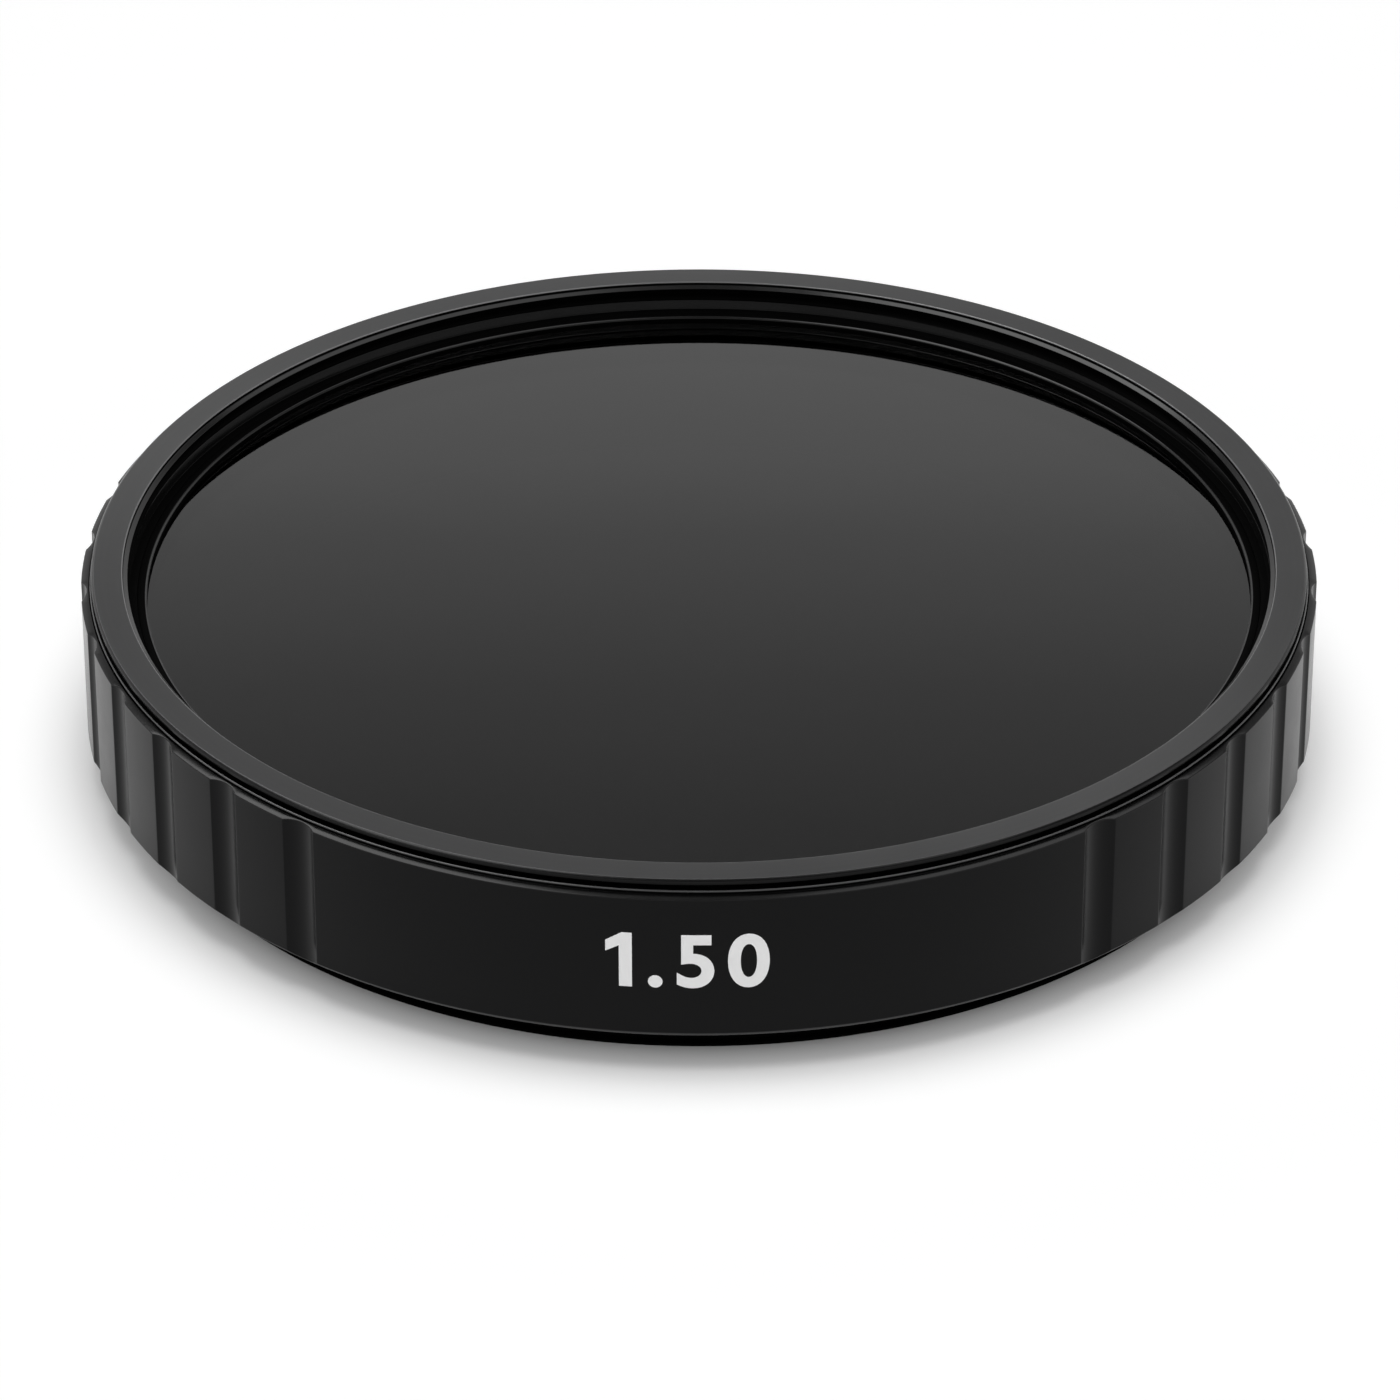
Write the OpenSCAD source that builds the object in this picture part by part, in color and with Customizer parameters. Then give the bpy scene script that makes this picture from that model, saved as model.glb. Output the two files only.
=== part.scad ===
// Round neutral density filter, lying on its rear thread with its front up.
// The optical axis is Z, the front faces +Z, and the middle of the smooth
// front stretch of the grip faces -Y. The origin is on the axis, in the plane
// of the rear end of the male thread. Depths are counted down from the rim.

/* [Filter thread] */

// Nominal diameter of the front and the rear thread
thread_d = 77; // [49:1:105]
// Pitch of both threads
thread_pitch = 0.75; // [0.5, 0.75, 1]
// Height of the male thread below the body
male_thread_h = 2.4; // [1.6:0.1:4]
// Lead-in chamfer at the free end of the male thread
male_lead = 0.15; // [0.1:0.05:0.6]
// Depth of the conical mouth of the front thread
mouth_h = 0.5; // [0.3:0.05:0.8]
// How much wider than the bore the mouth is, on the radius
mouth_w = 0.36; // [0.1:0.02:0.6]
// Length of the front thread below its mouth
front_thread_h = 1.5; // [1:0.02:4]

/* [Frame] */

// Height of the body, from the rim down to the top of the male thread
body_h = 11.45; // [8:0.05:20]
// Radial distance from the nominal thread to the outside of the rim
rim_wall = 2; // [1.6:0.1:4]
// Height of the rim's plate
rim_h = 0.4; // [0.3:0.02:1]
// Chamfer on the outer edge of the rim
rim_edge = 0.15; // [0.05:0.01:0.25]
// Height of the groove under the rim
groove_h = 0.32; // [0.2:0.02:1]
// Depth of that groove, measured in from the rim
groove_d = 0.8; // [0.4:0.05:1]
// How far the shoulder under the groove stands out past the rim
shoulder_proud = 0.12; // [0:0.02:0.3]
// Height of the shoulder
shoulder_h = 0.4; // [0.3:0.05:1]
// Radial step in from the rim to the seat that carries the grip ring
seat_step = 0.6; // [0.3:0.05:0.8]
// Wall between the nominal male thread and the bore behind the glass
rear_wall = 1.2; // [0.9:0.1:1.6]
// Height of the shelf that the glass lies on
shelf_h = 1; // [0.6:0.1:2]

/* [Glass] */

// Radial step in from the front thread's bore to the pocket of the glass
pocket_step = 0.6; // [0.45:0.01:0.9]
// Width of the shelf around the clear opening
shelf_w = 0.64; // [0.4:0.02:3]
// Thickness of the glass
glass_t = 2; // [1:0.1:3]
// Ground chamfer around both faces of the glass
glass_edge = 0.15; // [0.05:0.05:0.3]
// Running room between the glass and its pocket, on the radius
glass_gap = 0.1; // [0.02:0.01:0.3]

/* [Retaining ring] */

// Thickness of the ring that holds the glass down
ring_t = 0.5; // [0.4:0.02:1.5]
// Chamfer on the inner edge of that ring
ring_edge = 0.1; // [0.05:0.01:0.2]
// Press clearance of the ring in the pocket, on the radius
ring_gap = 0.02; // [0.01:0.01:0.05]

/* [Grip ring] */

// How far the grip stands out past the rim
grip_proud = 0.7; // [0.5:0.05:2]
// Height of the bevel at the top of the grip
bevel_h = 0.15; // [0.1:0.01:0.4]
// Drop from the top of the shoulder to the top edge of the grip
lip_drop = 0.16; // [0.05:0.01:0.2]
// Chamfer at the bottom of the grip
grip_foot = 0.5; // [0.1:0.05:0.7]
// Open seam between the shoulder and the lip of the grip, on the radius
seam = 0.06; // [0.02:0.01:0.1]
// Fit of the grip ring on its seat, on the radius
grip_gap = 0.02; // [0.01:0.01:0.05]
// How many flute pitches go round the whole grip
flute_pitches = 38; // [24:2:60]
// How many pitches the smooth front stretch takes up
plain_pitches = 8; // [2:2:16]
// Width of one flute
flute_w = 2.56; // [1.5:0.02:3]
// Depth of one flute
flute_d = 0.36; // [0.1:0.02:0.4]

/* [Hidden] */

$fn = 360;

// The internal thread's crest is 1.0825 pitches under the nominal diameter
INTERNAL_THREAD_LOSS = 1.0825;
// How far a cutter runs past the metal it cuts
PAST = 1;

male_r = thread_d / 2;
bore_r = (thread_d - INTERNAL_THREAD_LOSS * thread_pitch) / 2;
pocket_r = bore_r - pocket_step;
aperture_r = pocket_r - shelf_w;
glass_r = pocket_r - glass_gap;
rear_bore_r = male_r - rear_wall;

rim_r = male_r + rim_wall;
groove_r = rim_r - groove_d;
shoulder_r = rim_r + shoulder_proud;
seat_r = rim_r - seat_step;
grip_r = rim_r + grip_proud;
lip_r = shoulder_r + seam;

total_h = male_thread_h + body_h;
shoulder_top = total_h - rim_h - groove_h;
shoulder_under = shoulder_top - shoulder_h;
grip_top = shoulder_top - lip_drop;
thread_end = total_h - mouth_h - front_thread_h;
glass_top = thread_end - ring_t;
glass_under = glass_top - glass_t;
shelf_under = glass_under - shelf_h;

flute_step = 360 / flute_pitches;
flute_first = plain_pitches / 2;
flute_last = flute_pitches - flute_first;
// An arc of this radius has the flute's width and depth
flute_cutter_r = (pow(flute_w / 2, 2) + pow(flute_d, 2)) / (2 * flute_d);
FRONT_ANGLE = -90;

// A turned shape: its half section, swept once round the optical axis
module turned(half_section) {
    rotate_extrude() polygon(half_section);
}

// The frame is one turned piece: rim, groove, shoulder, grip seat, male thread,
// rear bore, glass shelf and pocket, and the bore of the front thread
module filter_frame() {
    color([0.05, 0.05, 0.055])
        turned([
            [bore_r + mouth_w, total_h],
            [rim_r - rim_edge, total_h],
            [rim_r, total_h - rim_edge],
            [rim_r, total_h - rim_h],
            [groove_r, total_h - rim_h],
            [groove_r, shoulder_top],
            [shoulder_r, shoulder_top],
            [shoulder_r, shoulder_under],
            [seat_r, shoulder_under],
            [seat_r, male_thread_h],
            [male_r, male_thread_h],
            [male_r, male_lead],
            [male_r - male_lead, 0],
            [rear_bore_r, 0],
            [rear_bore_r, shelf_under],
            [aperture_r, shelf_under],
            [aperture_r, glass_under],
            [pocket_r, glass_under],
            [pocket_r, thread_end],
            [bore_r, thread_end],
            [bore_r, total_h - mouth_h]
        ]);
}

// One flute: a round cutter that leaves an arc in the grip's outer face
module flute(pitch_number) {
    rotate(FRONT_ANGLE + pitch_number * flute_step)
        translate([grip_r - flute_d + flute_cutter_r, 0, male_thread_h - PAST])
            cylinder(r = flute_cutter_r, h = body_h + PAST);
}

// The grip ring is pressed on from the rear, up against the frame's shoulder
module grip_ring() {
    color([0.03, 0.03, 0.035])
        difference() {
            turned([
                [seat_r + grip_gap, male_thread_h],
                [grip_r - grip_foot, male_thread_h],
                [grip_r, male_thread_h + grip_foot],
                [grip_r, grip_top - bevel_h],
                [lip_r, grip_top],
                [lip_r, shoulder_under],
                [seat_r + grip_gap, shoulder_under]
            ]);
            for (pitch_number = [flute_first : flute_last]) flute(pitch_number);
        }
}

// The plain ring over the glass, flush with the end of the front thread
module retaining_ring() {
    color([0.02, 0.02, 0.02])
        turned([
            [aperture_r, glass_top],
            [pocket_r - ring_gap, glass_top],
            [pocket_r - ring_gap, thread_end],
            [aperture_r + ring_edge, thread_end],
            [aperture_r, thread_end - ring_edge]
        ]);
}

// The dark disc, flat on both faces, resting on the shelf
module filter_glass() {
    color([0.12, 0.12, 0.13, 0.9])
        turned([
            [0, glass_under],
            [glass_r - glass_edge, glass_under],
            [glass_r, glass_under + glass_edge],
            [glass_r, glass_top - glass_edge],
            [glass_r - glass_edge, glass_top],
            [0, glass_top]
        ]);
}

filter_frame();
grip_ring();
retaining_ring();
filter_glass();
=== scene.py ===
# %% [markdown]
# A screw-in neutral density filter, as a lesson in Blender
#
# The object is a dark glass disc in a black turned frame. A fluted grip ring is
# pressed on the outside, a plain ring holds the glass down, and both ends carry
# a fine screw thread. It lies on its rear thread with the front up.
#
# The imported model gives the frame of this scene: the optical axis is Z, the
# front faces +Z, and the smooth stretch of the grip faces the camera on -Y.
# Every piece is modelled in place, in metres, around that axis.

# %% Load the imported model
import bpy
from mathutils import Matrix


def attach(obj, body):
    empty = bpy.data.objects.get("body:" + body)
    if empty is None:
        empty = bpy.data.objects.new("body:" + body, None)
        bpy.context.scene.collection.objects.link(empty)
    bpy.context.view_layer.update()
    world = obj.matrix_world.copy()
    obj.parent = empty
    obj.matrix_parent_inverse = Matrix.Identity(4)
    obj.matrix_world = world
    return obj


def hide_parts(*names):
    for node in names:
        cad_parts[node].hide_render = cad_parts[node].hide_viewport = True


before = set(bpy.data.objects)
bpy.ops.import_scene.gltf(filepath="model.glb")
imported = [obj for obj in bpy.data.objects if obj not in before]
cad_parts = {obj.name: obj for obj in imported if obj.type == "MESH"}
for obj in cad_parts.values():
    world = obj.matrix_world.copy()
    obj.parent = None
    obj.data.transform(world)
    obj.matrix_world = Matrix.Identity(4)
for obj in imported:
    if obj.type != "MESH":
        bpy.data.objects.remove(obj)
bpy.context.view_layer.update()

# %% Tools of the lesson
import math

import bmesh
import bpy
from mathutils import Matrix, Vector

MM = 0.001
FULL_TURN = 2 * math.pi
X_AXIS, Z_AXIS = Vector((1, 0, 0)), Vector((0, 0, 1))
ON_AXIS = Vector((0, 0, 0))

# %% [markdown]
# The camera comes first, because everything else is judged through it. The rim
# in the photograph is a long ellipse, whose shape gives an elevation of just
# over 30 degrees, and the rim's flat is wider in front than at the back, which
# gives the distance of 482 mm. The picture is a long-lens one, and the middle
# of the rim lies above the middle of the picture, so the camera aims a little
# below it.

# %% Set the camera
PICTURE_PX = 1400
FOCAL_PX = 7217
SENSOR_MM = 36
CAMERA_DISTANCE = 481.95 * MM
CAMERA_ELEVATION = math.radians(30.13)
RIM_ABOVE_PX, AXIS_LEFT_PX = 147.7, 1.2
AIM_BELOW_RIM = math.atan(RIM_ABOVE_PX / FOCAL_PX)
AIM_RIGHT_OF_AXIS = math.atan(AXIS_LEFT_PX / FOCAL_PX)
TOP = 13.85

camera_data = bpy.data.cameras.new("studio_camera")
camera_data.sensor_width = SENSOR_MM
camera_data.lens = FOCAL_PX / PICTURE_PX * SENSOR_MM
camera_data.clip_start = 0.02
camera_data.clip_end = 20
camera = bpy.data.objects.new("studio_camera", camera_data)
camera.location = (
    0,
    -CAMERA_DISTANCE * math.cos(CAMERA_ELEVATION),
    TOP * MM + CAMERA_DISTANCE * math.sin(CAMERA_ELEVATION),
)
camera.rotation_euler = (
    math.radians(90) - CAMERA_ELEVATION - AIM_BELOW_RIM,
    0,
    -AIM_RIGHT_OF_AXIS,
)
bpy.context.scene.collection.objects.link(camera)
bpy.context.scene.camera = camera
print("lens", round(camera_data.lens, 1), "mm at",
      [round(v, 4) for v in camera.location])

# %% [markdown]
# Most of this object was made on a lathe, so most of it is made here in the same
# way: a half section in the XZ plane, given fine rounded corners, is spun once
# round the optical axis. No turned edge is perfectly sharp, and the thin light
# lines in the photograph are just these corners catching the light.

# %% A half section with rounded corners
CORNER_STEPS = 3
SAME_PLACE = 1e-8


def half_section(mesh, corners):
    """Draws the section through corners of (radius, height, rounding), in mm."""
    places = [(Vector((r * MM, 0, z * MM)), rounding) for r, z, rounding in corners]
    mesh.faces.new([mesh.verts.new(place) for place, _ in places])
    for size in sorted({rounding for _, rounding in places if rounding}):
        wanted = [place for place, rounding in places if rounding == size]
        worn = [v for v in mesh.verts
                if any((v.co - place).length < SAME_PLACE for place in wanted)]
        bmesh.ops.bevel(
            mesh, geom=worn, affect="VERTICES", offset=size * MM,
            segments=CORNER_STEPS, profile=0.5, material=-1,
        )
    bmesh.ops.delete(mesh, geom=mesh.faces[:], context="FACES_ONLY")


# %% Close a spun shape
WELD = 1e-7


def close_up(mesh):
    """Welds the seam of a spun shape and turns all its faces outwards."""
    bmesh.ops.remove_doubles(mesh, verts=mesh.verts[:], dist=WELD)
    bmesh.ops.recalc_face_normals(mesh, faces=mesh.faces[:])


# %% Spin a section once round the axis
TURN_STEPS = 384


def turn_on_lathe(mesh, corners):
    """A closed ring: the half section through corners, spun round the optical axis."""
    half_section(mesh, corners)
    bmesh.ops.spin(
        mesh, geom=mesh.verts[:] + mesh.edges[:], cent=ON_AXIS, axis=Z_AXIS,
        angle=FULL_TURN, steps=TURN_STEPS, use_merge=True,
    )
    close_up(mesh)


# %% Finish a mesh as a piece of the object
SHARP_ABOVE = math.radians(38)


def finish_piece(mesh, name, node, materials):
    """Makes the piece's object, smooth, and lets it stand for its CAD node."""
    data = bpy.data.meshes.new(name)
    for face in mesh.faces:
        face.smooth = True
    mesh.to_mesh(data)
    mesh.free()
    data.set_sharp_from_angle(angle=SHARP_ABOVE)
    piece = bpy.data.objects.new(name, data)
    bpy.context.scene.collection.objects.link(piece)
    for material in materials:
        data.materials.append(material)
    even = piece.modifiers.new("flat faces stay flat", "WEIGHTED_NORMAL")
    even.keep_sharp = True
    if node:
        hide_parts(node)
    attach(piece, "root")
    triangles = sum(len(p.vertices) - 2 for p in data.polygons)
    print(name, "has", triangles, "triangles and measures",
          [round(v / MM, 2) for v in piece.dimensions], "mm")


# %% [markdown]
# Black anodised aluminium is not one flat black. The blasted and dyed surface has
# a very fine grain, the cutting tool has left rings that follow the turning, and
# handling polishes it unevenly. Each of these is a small change of height or of
# roughness, so the material is built from three layers: rings that run along the
# turning, a grain much finer than the rings, and a slow cloud in the roughness.
# On the rim the rings also smear each reflection. That is the shader's anisotropy,
# along a tangent that follows the turning: the axis crossed with the place.

# %% Node helpers
def start_material(name, base, roughness, specular):
    """A material with a Principled shader, its plain values set on its own sockets."""
    material = bpy.data.materials.new(name)
    material.use_nodes = True
    shader = material.node_tree.nodes["Principled BSDF"]
    shader.inputs["Base Color"].default_value = (*base, 1)
    shader.inputs["Roughness"].default_value = roughness
    shader.inputs["Specular IOR Level"].default_value = specular
    return material, shader


def add_node(owner, kind, **values):
    """Adds a node to a material or world, setting its properties and sockets by name."""
    node = owner.node_tree.nodes.new(kind)
    for key, value in values.items():
        if key in node.inputs:
            node.inputs[key].default_value = value
        else:
            setattr(node, key, value)
    return node


def add_noise(material, place, per_metre, detail, roughness=0.5):
    """Noise over the object's own coordinates, with so many lumps to the metre."""
    noise = add_node(material, "ShaderNodeTexNoise",
                     Scale=per_metre, Detail=detail, Roughness=roughness)
    material.node_tree.links.new(place, noise.inputs["Vector"])
    return noise.outputs["Fac"]


def add_bump(material, height, depth, normal=None):
    """Lifts the surface by up to depth mm, on top of another bump if one is given."""
    bump = add_node(material, "ShaderNodeBump", Strength=1.0, Distance=depth * MM)
    material.node_tree.links.new(height, bump.inputs["Height"])
    if normal is not None:
        material.node_tree.links.new(normal, bump.inputs["Normal"])
    return bump.outputs["Normal"]


# %% Rings left by the cutting tool
RINGS_PER_METRE = 5200
RINGS_ACROSS, RINGS_ALONG = 0.83, 1.17


def turning_rings(material):
    """A number that changes in rings round the axis, on flats and on walls alike."""
    link = material.node_tree.links.new
    place = add_node(material, "ShaderNodeTexCoord").outputs["Object"]
    split = add_node(material, "ShaderNodeSeparateXYZ")
    link(place, split.inputs[0])
    flat = add_node(material, "ShaderNodeCombineXYZ")
    link(split.outputs["X"], flat.inputs["X"])
    link(split.outputs["Y"], flat.inputs["Y"])
    radius = add_node(material, "ShaderNodeVectorMath", operation="LENGTH")
    link(flat.outputs[0], radius.inputs[0])
    across = add_node(material, "ShaderNodeMath", operation="MULTIPLY")
    across.inputs[1].default_value = RINGS_ACROSS
    link(radius.outputs["Value"], across.inputs[0])
    along = add_node(material, "ShaderNodeMath", operation="MULTIPLY_ADD")
    along.inputs[1].default_value = RINGS_ALONG
    link(split.outputs["Z"], along.inputs[0])
    link(across.outputs[0], along.inputs[2])
    rings = add_node(material, "ShaderNodeTexNoise", noise_dimensions="1D",
                     Scale=RINGS_PER_METRE, Detail=4.0, Roughness=0.6)
    link(along.outputs[0], rings.inputs["W"])
    return place, rings.outputs["Fac"]


# %% Anodised aluminium
GRAIN_PER_METRE, CLOUD_PER_METRE = 9000, 160
CLOUD_FROM, CLOUD_TO = 0.3, 0.7
POLISHED, DULLED = -0.04, 0.05
THIN_DYE, THICK_DYE = 1.14, 0.86


def anodised(name, base, roughness, specular, ring_depth, grain_depth, brushed=0.0):
    """Dyed aluminium: its colour and gloss, and the depth of rings and grain in mm."""
    material, shader = start_material(name, base, roughness, specular)
    link = material.node_tree.links.new
    place, rings = turning_rings(material)
    if brushed:
        shader.inputs["Anisotropic"].default_value = brushed
        around = add_node(material, "ShaderNodeVectorMath", operation="CROSS_PRODUCT")
        around.inputs[0].default_value = Z_AXIS
        link(place, around.inputs[1])
        link(around.outputs[0], shader.inputs["Tangent"])
    grain = add_noise(material, place, GRAIN_PER_METRE, 3.0, 0.7)
    cloud = add_noise(material, place, CLOUD_PER_METRE, 5.0, 0.6)
    turned = add_bump(material, rings, ring_depth)
    link(add_bump(material, grain, grain_depth, turned), shader.inputs["Normal"])

    wear = add_node(material, "ShaderNodeMapRange")
    wear.inputs["From Min"].default_value = CLOUD_FROM
    wear.inputs["From Max"].default_value = CLOUD_TO
    wear.inputs["To Min"].default_value = roughness + POLISHED
    wear.inputs["To Max"].default_value = roughness + DULLED
    link(cloud, wear.inputs["Value"])
    link(wear.outputs["Result"], shader.inputs["Roughness"])

    tint = add_node(material, "ShaderNodeMix", data_type="RGBA")
    tint.inputs["A"].default_value = (*[c * THICK_DYE for c in base], 1)
    tint.inputs["B"].default_value = (*[c * THIN_DYE for c in base], 1)
    link(rings, tint.inputs["Factor"])
    link(tint.outputs["Result"], shader.inputs["Base Color"])
    return material


# %% [markdown]
# The photograph shows one dye on several finishes. The frame's flat rim is the
# lightest: its satin gloss mirrors the white surroundings softly, and on top of
# that its black is painted lighter than the rest of the frame, a painted lightening
# of the flat that faces up into the light. Its walls and its groove are cut finer
# and look deeper, and so does the grip, while the chamfer of the rim and the bevel
# of the grip shine a little more. The inside is a matte black that swallows light,
# as it should be in front of a lens, apart from two smooth bands: the cone of its
# mouth and the plain bore above the ledge.
# Behind the glass the same black has no rings and no grain. The shoulder's crest
# and the rim's inner edge are rounded, and their black is painted much lighter: a
# painted highlight that shows them as thin light lines.
#
# Each finish is written as its name, colour, roughness and share of reflection,
# and then how deep its rings and its grain are.

# %% Mix the blacks
# Painted lightening: the rim's flat gets a black about ten times lighter than the frame's
# other blacks, standing in for the light it catches.
RIM_PAINTED_LIGHTER = anodised(
    "rim satin black painted lighter", (0.020, 0.020, 0.0206), 0.38, 0.41, 0.0012, 0.0006, brushed=0.7)
WALL_BLACK = anodised(
    "wall deep black", (0.0015, 0.0015, 0.0015), 0.26, 0.12, 0.0004, 0.0004)
# Painted highlight: a much lighter colour on the rim's rounded inner edge, which makes
# its thin light line.
INNER_EDGE_PAINTED_HIGHLIGHT = anodised(
    "inner edge painted highlight", (0.120, 0.120, 0.121), 0.20, 0.6, 0.0002, 0.0002)
GRIP_BLACK = anodised(
    "grip satin black", (0.0018, 0.0018, 0.0020), 0.22, 0.105, 0.0005, 0.0004)
MOUTH_BLACK = anodised(
    "mouth smooth black", (0.002, 0.002, 0.002), 0.20, 0.26, 0.0004, 0.0004)
INNER_BLACK = anodised(
    "inner matte black", (0.0010, 0.0010, 0.0010), 0.60, 0.01, 0.0006, 0.0012)
BEVEL_BLACK = anodised(
    "bevel satin black", (0.0016, 0.0016, 0.0017), 0.22, 0.22, 0.0004, 0.0004)
# Painted highlight: a lighter colour on the shoulder's rounded crest, which makes its
# thin light line.
CREST_PAINTED_HIGHLIGHT = anodised(
    "crest painted highlight", (0.048, 0.048, 0.049), 0.20, 0.5, 0.0002, 0.0002)
REAR_BLACK = anodised(
    "rear smooth black", (0.0010, 0.0010, 0.0010), 0.60, 0.01, 0.0, 0.0)
FRAME_FINISHES = [
    RIM_PAINTED_LIGHTER, INNER_BLACK, WALL_BLACK, INNER_EDGE_PAINTED_HIGHLIGHT, MOUTH_BLACK, BEVEL_BLACK, CREST_PAINTED_HIGHLIGHT,
    REAR_BLACK,
]
print("blacks of the frame:", [finish.name for finish in FRAME_FINISHES])

# %% [markdown]
# The frame is one turned piece. From the outside in: a thin rim plate with a
# chamfer, a groove under it, a shoulder that stands out a little, and below it
# the seat of the grip ring. Inside there is the mouth of the front thread, the
# ledge, the pocket and the shelf for the glass, and the wide rear bore. The mouth
# has a low upright lip and then a shallow cone, and between the thread and the
# ledge the bore is plain: both show as grey bands in the photograph.
# The section runs along the roots of both threads, and the teeth come next.
# Radii and heights are in mm, and each corner ends with its rounding.

# %% Turn the frame
RIM_R, RIM_CHAMFER = 40.5, 0.15
RIM_UNDER, GROOVE_R = 13.45, 39.7
SHOULDER_R, SHOULDER_TOP, SHOULDER_UNDER = 40.62, 13.13, 12.73
SEAT_R, BODY_UNDER = 39.9, 2.4
MALE_CREST, MALE_ROOT = 38.5, 38.04
MALE_NOSE_R, LEAD_IN_R = 38.48, 38.35
THREAD_FROM, NOSE_TOP, LEAD_IN_TOP = 0.4, 0.3, 0.13
REAR_BORE_R, APERTURE_R, POCKET_R = 37.3, 36.854, 37.494
GLASS_TOP, GLASS_UNDER, SHELF_UNDER = 11.35, 9.35, 8.35
LEDGE_Z, PLAIN_BORE_TOP = 11.85, 12.56
BORE_CREST, BORE_ROOT = 38.094, 38.5
BORE_TAPER, BORE_STEP = 0.08, 0.12
RELIEF_TOP, RELIEF_END = 13.16, 13.34
MOUTH_END_Z, LIP_UNDER, LIP_INNER_R, RIM_INNER_R = 13.45, TOP - 0.26, 38.38, 38.42

frame_corners = [
    (RIM_INNER_R, TOP, 0.07), (RIM_R - RIM_CHAMFER, TOP, 0.06),
    (RIM_R, TOP - RIM_CHAMFER, 0.03), (RIM_R, RIM_UNDER, 0.05),
    (GROOVE_R, RIM_UNDER, 0.03), (GROOVE_R, SHOULDER_TOP, 0.03),
    (SHOULDER_R, SHOULDER_TOP, 0.08), (SHOULDER_R, SHOULDER_UNDER, 0.03),
    (SEAT_R, SHOULDER_UNDER, 0.02), (SEAT_R, BODY_UNDER, 0.03),
    (MALE_ROOT, BODY_UNDER, 0.03), (MALE_ROOT, THREAD_FROM, 0.03),
    (MALE_NOSE_R, NOSE_TOP, 0.03), (MALE_NOSE_R, LEAD_IN_TOP, 0.03), (LEAD_IN_R, 0, 0.03),
    (REAR_BORE_R, 0, 0.05), (REAR_BORE_R, SHELF_UNDER, 0.03),
    (APERTURE_R, SHELF_UNDER, 0.05), (APERTURE_R, GLASS_UNDER, 0.03),
    (POCKET_R, GLASS_UNDER, 0.03), (POCKET_R, LEDGE_Z, 0.03),
    (BORE_CREST, LEDGE_Z, 0.03), (BORE_CREST + BORE_TAPER, PLAIN_BORE_TOP, 0.02),
    (BORE_ROOT, PLAIN_BORE_TOP + BORE_STEP, 0.03), (BORE_ROOT, RELIEF_TOP, 0.03),
    (BORE_CREST, RELIEF_END, 0.03), (BORE_CREST, MOUTH_END_Z, 0.02),
    (LIP_INNER_R, LIP_UNDER, 0.02),
]
frame_mesh = bmesh.new()
turn_on_lathe(frame_mesh, frame_corners)
print("frame before its threads:", len(frame_mesh.faces), "faces")

# %% [markdown]
# A screw thread is a small tooth swept along a helix. Its pitch is 0.75 mm and
# its flanks stand at 60 degrees. Spin can climb while it turns, so one closed
# outline of the tooth makes the whole thread. Both ends sink into the wall over
# the last stretch, as where a real cutter is drawn out, and are then capped. The
# tooth is swept in a mesh of its own, because each step of a spin takes longer in
# a mesh that already holds thousands of points, and then it joins the frame.

# %% Cut a thread
PITCH = 0.75
CREST_FLAT = PITCH / 8
FLANK_SLOPE = math.tan(math.radians(30))
THREAD_STEPS = 240
RUN_OUT_STEPS = 24
ROOTED = 0.03
AT_CREST = 1e-6


def add_thread(mesh, crest, root, start_deg, end_deg, z_at_start):
    """Adds a tooth from the root's wall to the crest radius, climbing a pitch a turn."""
    inwards = 1 if root > crest else -1
    tall = abs(root - crest)
    spread = CREST_FLAT / 2 + tall * FLANK_SLOPE + ROOTED * FLANK_SLOPE
    outline = [
        (root + inwards * ROOTED, -spread), (crest, -CREST_FLAT / 2),
        (crest, CREST_FLAT / 2), (root + inwards * ROOTED, spread),
    ]
    helix = bmesh.new()
    tooth = [helix.verts.new((r * MM, 0, (z_at_start + z) * MM)) for r, z in outline]
    loop = [helix.edges.new((tooth[i - 1], tooth[i])) for i in range(len(tooth))]
    bmesh.ops.rotate(helix, verts=tooth, cent=ON_AXIS,
                     matrix=Matrix.Rotation(math.radians(start_deg), 3, "Z"))
    steps = round(THREAD_STEPS * (end_deg - start_deg) / 360)
    climb = PITCH * MM * (end_deg - start_deg) / 360 / steps
    spun = bmesh.ops.spin(
        helix, geom=tooth + loop, cent=ON_AXIS, axis=Z_AXIS, dvec=Z_AXIS * climb,
        angle=math.radians(end_deg - start_deg), steps=steps, use_merge=False,
    )
    last = [v for v in spun["geom_last"] if isinstance(v, bmesh.types.BMVert)]
    for k, v in enumerate(helix.verts[:]):
        step = k // len(outline)
        sunk = 1 - min(step, steps - step, RUN_OUT_STEPS) / RUN_OUT_STEPS
        flat = Vector((v.co.x, v.co.y, 0))
        if sunk and abs(flat.length - crest * MM) < AT_CREST:
            v.co += flat.normalized() * inwards * (tall + ROOTED / 2) * MM * sunk
    helix.faces.new(tooth)
    helix.faces.new(last)
    thread = bpy.data.meshes.new("thread")
    helix.to_mesh(thread)
    helix.free()
    mesh.from_mesh(thread)
    bpy.data.meshes.remove(thread)
    return steps


# %% Cut both threads
front_steps = add_thread(
    frame_mesh, BORE_CREST, BORE_ROOT, start_deg=-6, end_deg=425, z_at_start=12.40)
print("front thread:", front_steps, "steps")
rear_steps = add_thread(
    frame_mesh, MALE_CREST, MALE_ROOT, start_deg=20, end_deg=20 + 360 * 2.1,
    z_at_start=0.55)
print("rear thread:", rear_steps, "steps")
bmesh.ops.recalc_face_normals(frame_mesh, faces=frame_mesh.faces[:])

# %% Give each surface of the frame its finish
ALL = math.inf
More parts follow.
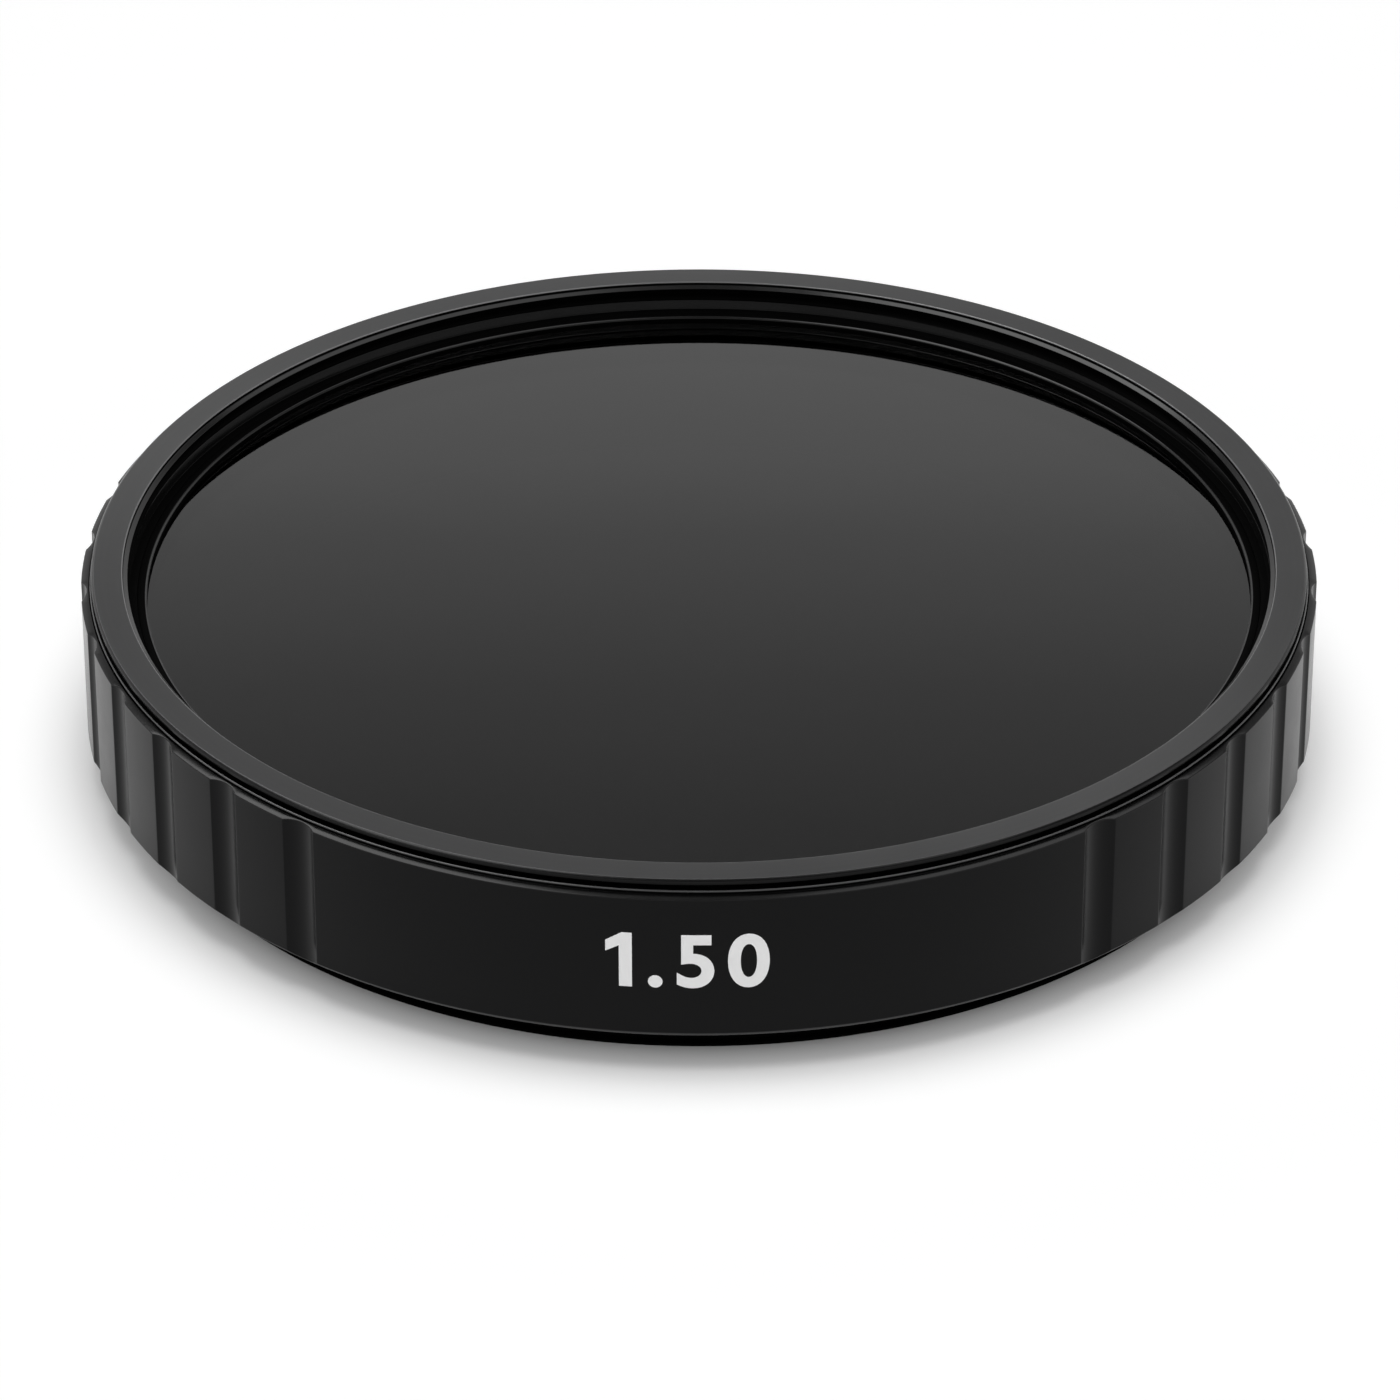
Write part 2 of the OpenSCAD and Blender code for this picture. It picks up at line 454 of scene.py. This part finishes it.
# Finish, radius from and to, height from and to in mm, how far the face looks up
FINISH_BANDS = [
    # Painted highlight on the rim's rounded inner edge.
    (INNER_EDGE_PAINTED_HIGHLIGHT, -ALL, 38.56, TOP - 0.07, ALL, 0.3, 0.999),
    (BEVEL_BLACK, 40.3, ALL, TOP - 0.16, ALL, 0.1, 0.9),
    # The flat of the rim and its outer rounding take the rim's painted lighter black.
    (RIM_PAINTED_LIGHTER, -ALL, ALL, TOP - 0.001, ALL, -ALL, ALL),
    (RIM_PAINTED_LIGHTER, 40.2, ALL, TOP - 0.07, ALL, -ALL, ALL),
    # Painted highlight on the shoulder's rounded crest.
    (CREST_PAINTED_HIGHLIGHT, RIM_R, ALL, SHOULDER_TOP - 0.13, SHOULDER_TOP + 0.005, 0.05, 0.999),
    (REAR_BLACK, -ALL, 37.6, 0.05, GLASS_UNDER + 0.01, -ALL, ALL),
    (MOUTH_BLACK, -ALL, 38.40, MOUTH_END_Z - 0.02, TOP, 0.3, ALL),
    (MOUTH_BLACK, 38.05, 38.2, LEDGE_Z + 0.02, PLAIN_BORE_TOP, -ALL, ALL),
    (INNER_BLACK, -ALL, BORE_ROOT + 0.02, -ALL, ALL, -ALL, ALL),
    (WALL_BLACK, -ALL, ALL, -ALL, ALL, -ALL, ALL),
]


def frame_finish(face):
    """The finish of the first band that holds the face."""
    middle = face.calc_center_median() / MM
    radius = math.hypot(middle.x, middle.y)
    for finish, r_from, r_to, z_from, z_to, tilt_from, tilt_to in FINISH_BANDS:
        if (r_from < radius < r_to and z_from < middle.z < z_to
                and tilt_from < face.normal.z < tilt_to):
            return finish


for face in frame_mesh.faces:
    face.material_index = FRAME_FINISHES.index(frame_finish(face))
finish_piece(frame_mesh, "filter_frame_turned", "filter_frame",
             FRAME_FINISHES)

# %% [markdown]
# The grip ring is a sleeve with 31 shallow flutes. The lathe makes the sleeve,
# and a round cutter then makes each flute, which is why the flutes end in small
# curves on the top bevel. Here the sleeve is spun land by land and flute by
# flute, so that a row of edges lies exactly on each flute's border, and the
# points between are then moved in to the cutter's arc.

# %% Spin the sleeve in lands and flutes
GRIP_R, GRIP_BORE_R = 41.2, 39.92
LIP_R, LIP_Z = 40.68, 12.97
BEVEL_Z = 12.82
FOOT_Z, FOOT = BODY_UNDER, 0.5
PITCHES = 38
FIRST_FLUTE, LAST_FLUTE = 4, 34
FLUTE_W, FLUTE_D = 2.56, 0.36
CUTTER_R = ((FLUTE_W / 2) ** 2 + FLUTE_D ** 2) / (2 * FLUTE_D)
CUTTER_AT = GRIP_R - FLUTE_D + CUTTER_R
PITCH_ANGLE = FULL_TURN / PITCHES
HALF_FLUTE = math.acos(
    (CUTTER_AT ** 2 + GRIP_R ** 2 - CUTTER_R ** 2) / (2 * CUTTER_AT * GRIP_R))
FRONT = math.radians(-90)
LAND_STEPS, FLUTE_STEPS = 12, 16

grip_mesh = bmesh.new()
grip_corners = [
    (GRIP_BORE_R, FOOT_Z, 0), (GRIP_R - FOOT, FOOT_Z, 0), (GRIP_R, FOOT_Z + FOOT, 0),
    (GRIP_R, BEVEL_Z, 0), (LIP_R, LIP_Z, 0), (LIP_R, SHOULDER_UNDER, 0),
    (GRIP_BORE_R, SHOULDER_UNDER, 0),
]
half_section(grip_mesh, grip_corners)
bmesh.ops.rotate(grip_mesh, verts=grip_mesh.verts[:], cent=ON_AXIS,
                 matrix=Matrix.Rotation(FRONT + HALF_FLUTE, 3, "Z"))
edge_of_spin = grip_mesh.verts[:] + grip_mesh.edges[:]
land_and_flute = (
    (PITCH_ANGLE - 2 * HALF_FLUTE, LAND_STEPS), (2 * HALF_FLUTE, FLUTE_STEPS),
)
for _ in range(PITCHES):
    for angle, steps in land_and_flute:
        edge_of_spin = bmesh.ops.spin(
            grip_mesh, geom=edge_of_spin, cent=ON_AXIS, axis=Z_AXIS, angle=angle,
            steps=steps, use_merge=False,
        )["geom_last"]
close_up(grip_mesh)
print("sleeve:", len(grip_mesh.faces), "faces; a flute spans",
      round(math.degrees(2 * HALF_FLUTE), 3), "degrees")

# %% Move the flutes in to the cutter's arc
BEVEL_RISE = (LIP_Z - BEVEL_Z) / (GRIP_R - LIP_R)
MID_GRIP_Z = 5
ON_WALL, ON_BORDER = 0.001, 1e-6

for v in grip_mesh.verts:
    radius = math.hypot(v.co.x, v.co.y) / MM
    turned = (math.atan2(v.co.y, v.co.x) - FRONT) % FULL_TURN
    number = round(turned / PITCH_ANGLE)
    off = turned - number * PITCH_ANGLE
    if radius < GRIP_R - ON_WALL or not FIRST_FLUTE <= number <= LAST_FLUTE:
        continue
    if abs(off) >= HALF_FLUTE - ON_BORDER:
        continue
    half_chord = math.sqrt(CUTTER_R ** 2 - (CUTTER_AT * math.sin(off)) ** 2)
    arc = CUTTER_AT * math.cos(off) - half_chord
    depth = GRIP_R - arc
    v.co.x *= arc / radius
    v.co.y *= arc / radius
    if v.co.z > MID_GRIP_Z * MM:
        v.co.z = (BEVEL_Z + depth * BEVEL_RISE) * MM
    else:
        v.co.z = (FOOT_Z + FOOT - depth) * MM
bmesh.ops.recalc_face_normals(grip_mesh, faces=grip_mesh.faces[:])
print("deepest point of a flute:", round(GRIP_R - (CUTTER_AT - CUTTER_R), 3), "mm")

# %% Break the grip's sharp edges
EDGE_TURN = math.radians(9)
EDGE_BREAK = 0.05 * MM
LOOKS_UP = 0.2
BEVEL_FROM = BEVEL_Z - 0.5


def stands_outside(edge):
    """True where an edge's middle is further out than the rim."""
    middle = sum((v.co for v in edge.verts), Vector()) / 2
    return math.hypot(*middle.xy) > RIM_R * MM


sharp = [
    e for e in grip_mesh.edges
    if len(e.link_faces) == 2 and e.calc_face_angle() > EDGE_TURN and stands_outside(e)
]
bmesh.ops.bevel(
    grip_mesh, geom=sharp, affect="EDGES", offset=EDGE_BREAK, segments=2,
    profile=0.5, material=-1, clamp_overlap=True,
)
for face in grip_mesh.faces:
    on_bevel = face.normal.z > LOOKS_UP and face.calc_center_median().z > BEVEL_FROM * MM
    face.material_index = 1 if on_bevel else 0
print(len(sharp), "sharp edges broken by", EDGE_BREAK / MM, "mm")
finish_piece(grip_mesh, "grip_ring_fluted", "grip_ring",
             [GRIP_BLACK, BEVEL_BLACK])

# %% [markdown]
# The retaining ring is a plain turned ring, pressed in over the glass and flush
# with the ledge under the front thread. Only its top and its inner wall show,
# with one thin light line where the two meet.

# %% Turn the retaining ring
RING_R, RING_EDGE = 37.474, 0.1
RING_EDGE_R, RING_EDGE_FROM = 37.0, LEDGE_Z - 0.2

ring_mesh = bmesh.new()
turn_on_lathe(ring_mesh, [
    (APERTURE_R, GLASS_TOP, 0.02), (RING_R, GLASS_TOP, 0.03), (RING_R, LEDGE_Z, 0.03),
    (APERTURE_R + RING_EDGE, LEDGE_Z, 0.04), (APERTURE_R, LEDGE_Z - RING_EDGE, 0.04),
])
for face in ring_mesh.faces:
    middle = face.calc_center_median() / MM
    leans = math.hypot(middle.x, middle.y) < RING_EDGE_R and 0.05 < face.normal.z < 0.999
    face.material_index = 1 if leans and middle.z > RING_EDGE_FROM else 0
finish_piece(ring_mesh, "retaining_ring_turned", "retaining_ring",
             [INNER_BLACK, MOUTH_BLACK])

# %% [markdown]
# The glass is a flat disc of grey glass, 2 mm thick, that lets about 3 percent
# of the light through. The shader tints light on its way in and again on its way
# out, each time by the square root of the base colour, so the base colour is the
# share of the light that gets through. Its edge is ground to a chamfer.
# A glass this dark is a mirror to the eye, and a very flat one. Its polish rolls
# by a few thousandths of a millimetre over long waves, which shows only as a
# faint unevenness in what it mirrors.

# %% Dye the glass
LIGHT_SHARE = 0.0316
GLASS_IOR = 1.5
WAVES_PER_METRE, WAVE_DEPTH = 60.0, 0.004

nd_glass, glass_shader = start_material(
    "neutral grey glass", (LIGHT_SHARE,) * 3, roughness=0.0, specular=0.5)
glass_shader.inputs["Transmission Weight"].default_value = 1.0
glass_shader.inputs["IOR"].default_value = GLASS_IOR
glass_place = add_node(nd_glass, "ShaderNodeTexCoord").outputs["Object"]
waves = add_noise(nd_glass, glass_place, WAVES_PER_METRE, 2.0)
nd_glass.node_tree.links.new(
    add_bump(nd_glass, waves, WAVE_DEPTH), glass_shader.inputs["Normal"])
print("optical density of this glass:", round(-math.log10(LIGHT_SHARE), 2))

# %% Grind the disc
GLASS_R, GLASS_EDGE = 37.394, 0.15
SQUARE_EDGE = 1.0

glass_mesh = bmesh.new()
bmesh.ops.create_circle(
    glass_mesh, cap_ends=True, radius=GLASS_R * MM, segments=TURN_STEPS)
bmesh.ops.translate(
    glass_mesh, verts=glass_mesh.verts[:], vec=Z_AXIS * GLASS_UNDER * MM)
raised = bmesh.ops.extrude_face_region(
    glass_mesh, geom=glass_mesh.faces[:], use_keep_orig=True)
bmesh.ops.translate(
    glass_mesh, vec=Z_AXIS * (GLASS_TOP - GLASS_UNDER) * MM,
    verts=[v for v in raised["geom"] if isinstance(v, bmesh.types.BMVert)],
)
bmesh.ops.recalc_face_normals(glass_mesh, faces=glass_mesh.faces[:])
rim_edges = [
    e for e in glass_mesh.edges
    if len(e.link_faces) == 2 and e.calc_face_angle() > SQUARE_EDGE
]
bmesh.ops.bevel(
    glass_mesh, geom=rim_edges, affect="EDGES", offset=GLASS_EDGE * MM, segments=1,
    profile=0.5, material=-1,
)
finish_piece(glass_mesh, "filter_glass_disc", "filter_glass", [nd_glass])

# %% [markdown]
# The real ring is marked in white on its smooth front stretch. This one carries
# plain figures instead: 1.50 is the optical density of a filter as dark as this.
# The point, the 5 and the 0 start as a text curve, which is made a mesh. The
# font's 1 is a bare bar that reads like a capital I, so the 1 is drawn with a
# flag. All are cut into narrow upright strips so that they can follow the round
# face, and given the thickness of a screen print.

# %% Write the figures
TEXT_FIGURES = ".50"
FIGURE_H = 4.0
FIGURE_Z = 8.3
FIGURE_TURN = math.radians(-1.0)
FIGURE_GAP = 1.0
TEXT_WELD = 1e-5
ONE_OUTLINE = [
    (0.85, 0), (1.67, 0), (1.67, 4), (1.02, 4), (0, 3.36), (0, 2.56), (0.85, 3.02),
]

text = bpy.data.curves.new("figures", "FONT")
text.body = TEXT_FIGURES
text.size = 1
text.offset = 0.026
text.space_character = 1.24
text.resolution_u = 8
text_object = bpy.data.objects.new("figures", text)
bpy.context.scene.collection.objects.link(text_object)
flat_figures = bpy.data.meshes.new_from_object(
    text_object.evaluated_get(bpy.context.evaluated_depsgraph_get()))
bpy.data.objects.remove(text_object)
figures_mesh = bmesh.new()
figures_mesh.from_mesh(flat_figures)
bmesh.ops.remove_doubles(figures_mesh, verts=figures_mesh.verts[:], dist=TEXT_WELD)
left = min(v.co.x for v in figures_mesh.verts)
bottom = min(v.co.y for v in figures_mesh.verts)
top = max(v.co.y for v in figures_mesh.verts)
size = FIGURE_H * MM / (top - bottom)
bmesh.ops.translate(figures_mesh, verts=figures_mesh.verts[:], vec=(-left, -bottom, 0))
bmesh.ops.scale(figures_mesh, verts=figures_mesh.verts[:], vec=(size, size, size))
one_width = max(x for x, _ in ONE_OUTLINE)
bmesh.ops.translate(figures_mesh, verts=figures_mesh.verts[:],
                    vec=X_AXIS * (one_width + FIGURE_GAP) * MM)
figures_mesh.faces.new(
    [figures_mesh.verts.new((x * MM, y * MM, 0)) for x, y in ONE_OUTLINE])
figure_width = max(v.co.x for v in figures_mesh.verts)
bmesh.ops.translate(figures_mesh, verts=figures_mesh.verts[:],
                    vec=(-figure_width / 2, -FIGURE_H * MM / 2, 0))
print("figures are", round(figure_width / MM, 2), "mm wide and", FIGURE_H, "mm high")

# %% Wrap them round the grip
STRIP_W = 0.4
PRINT_T, PRINT_SUNK = 0.012, 0.01

strips = int(figure_width / (STRIP_W * MM)) + 2
for k in range(-strips // 2, strips // 2 + 1):
    everything = figures_mesh.verts[:] + figures_mesh.edges[:] + figures_mesh.faces[:]
    bmesh.ops.bisect_plane(
        figures_mesh, geom=everything, dist=SAME_PLACE,
        plane_co=(k * STRIP_W * MM, 0, 0), plane_no=X_AXIS,
    )
raised = bmesh.ops.extrude_face_region(
    figures_mesh, geom=figures_mesh.faces[:], use_keep_orig=True)
outer = {v for v in raised["geom"] if isinstance(v, bmesh.types.BMVert)}
for v in figures_mesh.verts:
    radius = (GRIP_R + (PRINT_T if v in outer else -PRINT_SUNK)) * MM
    turned = FRONT + FIGURE_TURN + v.co.x / (GRIP_R * MM)
    height = FIGURE_Z * MM + v.co.y
    v.co = (radius * math.cos(turned), radius * math.sin(turned), height)
bmesh.ops.recalc_face_normals(figures_mesh, faces=figures_mesh.faces[:])
print("figures:", len(figures_mesh.faces), "faces")

# %% Print them in white
INK_GRAIN_PER_METRE, INK_DEPTH = 2600.0, 0.001
INK_LOW, INK_HIGH = 0.94, 0.99

print_white, print_shader = start_material(
    "white screen print", (0.80, 0.80, 0.80), roughness=0.55, specular=0.3)
link = print_white.node_tree.links.new
ink_place = add_node(print_white, "ShaderNodeTexCoord").outputs["Object"]
ink = add_noise(print_white, ink_place, INK_GRAIN_PER_METRE, 4.0)
ink_tone = add_node(print_white, "ShaderNodeMix", data_type="RGBA")
ink_tone.inputs["A"].default_value = (INK_LOW, INK_LOW, INK_LOW, 1)
ink_tone.inputs["B"].default_value = (INK_HIGH, INK_HIGH, INK_HIGH, 1)
link(ink, ink_tone.inputs["Factor"])
link(ink_tone.outputs["Result"], print_shader.inputs["Base Color"])
link(add_bump(print_white, ink, INK_DEPTH), print_shader.inputs["Normal"])
finish_piece(figures_mesh, "density_figures", None, [print_white])

# %% [markdown]
# The studio is plain: a white table, white surroundings up to a certain height
# with a grey ceiling above them, and one large soft light overhead. The glass
# mirrors the stretch where white turns to grey, which is why it is light at the
# back and dark in front. The table is white paint. Away from the object a little
# of its own light, seen only by the camera, in reflections and through the glass,
# lifts it to pure white, and near the object it keeps the shadow. This glow is
# painted light graded by the distance from the axis: none at the object and
# strongest just outside it, which paints the outer part of the shadow lighter and
# makes the shadow narrower.

# %% Light the surroundings
GREY_FROM, GREY_TO = 0.46, 0.56
SURROUNDINGS = [
    (0.00, 1.00), (0.16, 0.95), (0.31, 0.82), (0.40, 0.66), (0.49, 0.56),
    (0.575, 0.46), (0.65, 0.41), (0.745, 0.345), (1.00, 0.28),
]

world = bpy.data.worlds.new("studio surroundings")
bpy.context.scene.world = world
world.use_nodes = True
background = world.node_tree.nodes["Background"]
link = world.node_tree.links.new
seen_at = add_node(world, "ShaderNodeTexCoord")
upward = add_node(world, "ShaderNodeSeparateXYZ")
link(seen_at.outputs["Generated"], upward.inputs[0])
stretch = add_node(world, "ShaderNodeMapRange")
stretch.inputs["From Min"].default_value = GREY_FROM
stretch.inputs["From Max"].default_value = GREY_TO
link(upward.outputs["Z"], stretch.inputs["Value"])
shade = add_node(world, "ShaderNodeValToRGB")
ramp = shade.color_ramp.elements
for element, (position, level) in zip(ramp[:], (SURROUNDINGS[0], SURROUNDINGS[-1])):
    element.position = position
    element.color = (level, level, level, 1)
for position, level in SURROUNDINGS[1:-1]:
    ramp.new(position).color = (level, level, level, 1)
link(stretch.outputs["Result"], shade.inputs["Fac"])
link(shade.outputs["Color"], background.inputs["Color"])
background.inputs["Strength"].default_value = 1.0
white_to = math.degrees(math.asin(GREY_FROM))
print("surroundings: white to", round(white_to, 1), "degrees up")

# %% Hang the overhead light
OVERHEAD_SIZE = 0.7
OVERHEAD_Z = 0.95
OVERHEAD_WATTS = 4.0

overhead_data = bpy.data.lights.new("overhead softbox", "AREA")
overhead_data.shape = "DISK"
overhead_data.size = OVERHEAD_SIZE
overhead_data.energy = OVERHEAD_WATTS
overhead = bpy.data.objects.new("overhead softbox", overhead_data)
overhead.location = (0, 0, OVERHEAD_Z)
overhead.visible_glossy = False
bpy.context.scene.collection.objects.link(overhead)
level = OVERHEAD_WATTS / (math.pi * (OVERHEAD_SIZE / 2) ** 2) / math.pi
print("overhead light's own level:", round(level, 2))

# %% [markdown]
# The photograph's bevels shine on both sides of the front and are dark in the
# middle. A bevel there mirrors what hangs above it to the left or the right, so
# two wide softboxes hang there, the left one brighter. They are made for the
# edges and are seen in reflections only, which leaves the table's light alone.

# %% Hang two softboxes for the edges
BOX_Z = 1.0
# Name, x, y, width, depth, level
SIDE_BOXES = [
    ("left softbox", -0.65, 0.16, 0.90, 1.32, 4.8),
    ("right softbox", 0.46, 0.11, 0.68, 1.22, 1.9),
]

for name, x, y, wide, deep, level in SIDE_BOXES:
    box_data = bpy.data.lights.new(name, "AREA")
    box_data.shape = "RECTANGLE"
    box_data.size = wide
    box_data.size_y = deep
    box_data.energy = level * wide * deep * math.pi
    box = bpy.data.objects.new(name, box_data)
    box.location = (x, y, BOX_Z)
    box.visible_diffuse = False
    bpy.context.scene.collection.objects.link(box)
    print(name, "level", level, "with", round(box_data.energy, 1), "W")

# %% Paint the table
TABLE_SIZE = 8
TABLE_WHITE = 0.8
# Distance from the axis in metres, and how strongly the table glows there, painted light
# that narrows its shadow
PAINTED_LIGHT_BY_DISTANCE = [
    (0.0375, 0.0), (0.0385, 0.06), (0.0395, 0.13), (0.0405, 0.20), (0.042, 0.29),
    (0.044, 0.39), (0.046, 0.42), (0.050, 0.40), (0.060, 0.36), (0.075, 0.34),
    (0.2, 0.34),
]
PAINTED_LIGHT_REACH, PAINTED_LIGHT_AT_REACH = PAINTED_LIGHT_BY_DISTANCE[-1]

table_mesh = bmesh.new()
bmesh.ops.create_grid(table_mesh, x_segments=4, y_segments=4, size=TABLE_SIZE / 2)
table_data = bpy.data.meshes.new("white_table")
table_mesh.to_mesh(table_data)
table_mesh.free()
table = bpy.data.objects.new("white_table", table_data)
bpy.context.scene.collection.objects.link(table)

table_white, table_shader = start_material(
    "white table paint", (TABLE_WHITE,) * 3, roughness=1.0, specular=0.0)
link = table_white.node_tree.links.new
place = add_node(table_white, "ShaderNodeTexCoord")
distance = add_node(table_white, "ShaderNodeVectorMath", operation="LENGTH")
link(place.outputs["Object"], distance.inputs[0])
reach = add_node(table_white, "ShaderNodeMath", operation="DIVIDE", use_clamp=True)
reach.inputs[1].default_value = PAINTED_LIGHT_REACH
link(distance.outputs["Value"], reach.inputs[0])
# Painted light: the table's glow rises with the distance from the axis and peaks just
# outside the object.
glow = add_node(table_white, "ShaderNodeFloatCurve")
link(reach.outputs[0], glow.inputs["Value"])
curve = glow.mapping.curves[0]
curve.points[0].location = (0, 0)
curve.points[1].location = (1, PAINTED_LIGHT_AT_REACH)
for far, strength in PAINTED_LIGHT_BY_DISTANCE[:-1]:
    curve.points.new(far / PAINTED_LIGHT_REACH, strength)
glow.mapping.update()

seen_by = add_node(table_white, "ShaderNodeLightPath")
seen = seen_by.outputs["Is Camera Ray"]
for other_ray in ("Is Glossy Ray", "Is Transmission Ray"):
    either = add_node(table_white, "ShaderNodeMath", operation="MAXIMUM")
    link(seen, either.inputs[0])
    link(seen_by.outputs[other_ray], either.inputs[1])
    seen = either.outputs[0]
shown = add_node(table_white, "ShaderNodeMath", operation="MULTIPLY")
link(glow.outputs["Value"], shown.inputs[0])
link(seen, shown.inputs[1])
table_shader.inputs["Emission Color"].default_value = (1, 1, 1, 1)
link(shown.outputs[0], table_shader.inputs["Emission Strength"])
table_data.materials.append(table_white)
print("table:", TABLE_SIZE, "m square")

# %% [markdown]
# The picture is shown as it is rendered, with the Standard view and nothing else
# added.

# %% Finish
bpy.context.scene.view_settings.view_transform = "Standard"
